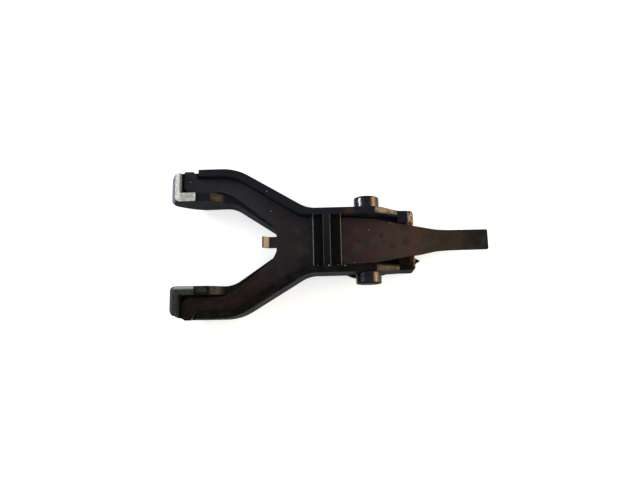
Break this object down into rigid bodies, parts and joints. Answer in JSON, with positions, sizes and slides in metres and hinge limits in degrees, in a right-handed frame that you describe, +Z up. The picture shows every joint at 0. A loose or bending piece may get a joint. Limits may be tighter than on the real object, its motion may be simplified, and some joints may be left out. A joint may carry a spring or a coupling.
{
  "type": "clutch fork",
  "caption": "Forged Y-shaped clutch release fork with raised claws, side trunnion pins and a flat leaf plate held under a ribbed strap.",
  "frame": {"origin": "middle of the bounding box's footprint, on the flat base", "axes": "+X from the claws to the plate's tail, +Z up from the base to the rails' tops, +Y across the fork along the trunnion pins"},
  "size_m": [0.2332, 0.1102, 0.03],
  "materials": {
    "forged_steel": "blackened forging, bare and worn on the claw pads",
    "spring_steel": "dull heat-tinted spring strip"
  },
  "bodies": {
    "root": {"fork_body": "forged_steel", "leaf_plate": "spring_steel"}
  },
  "joints": []
}
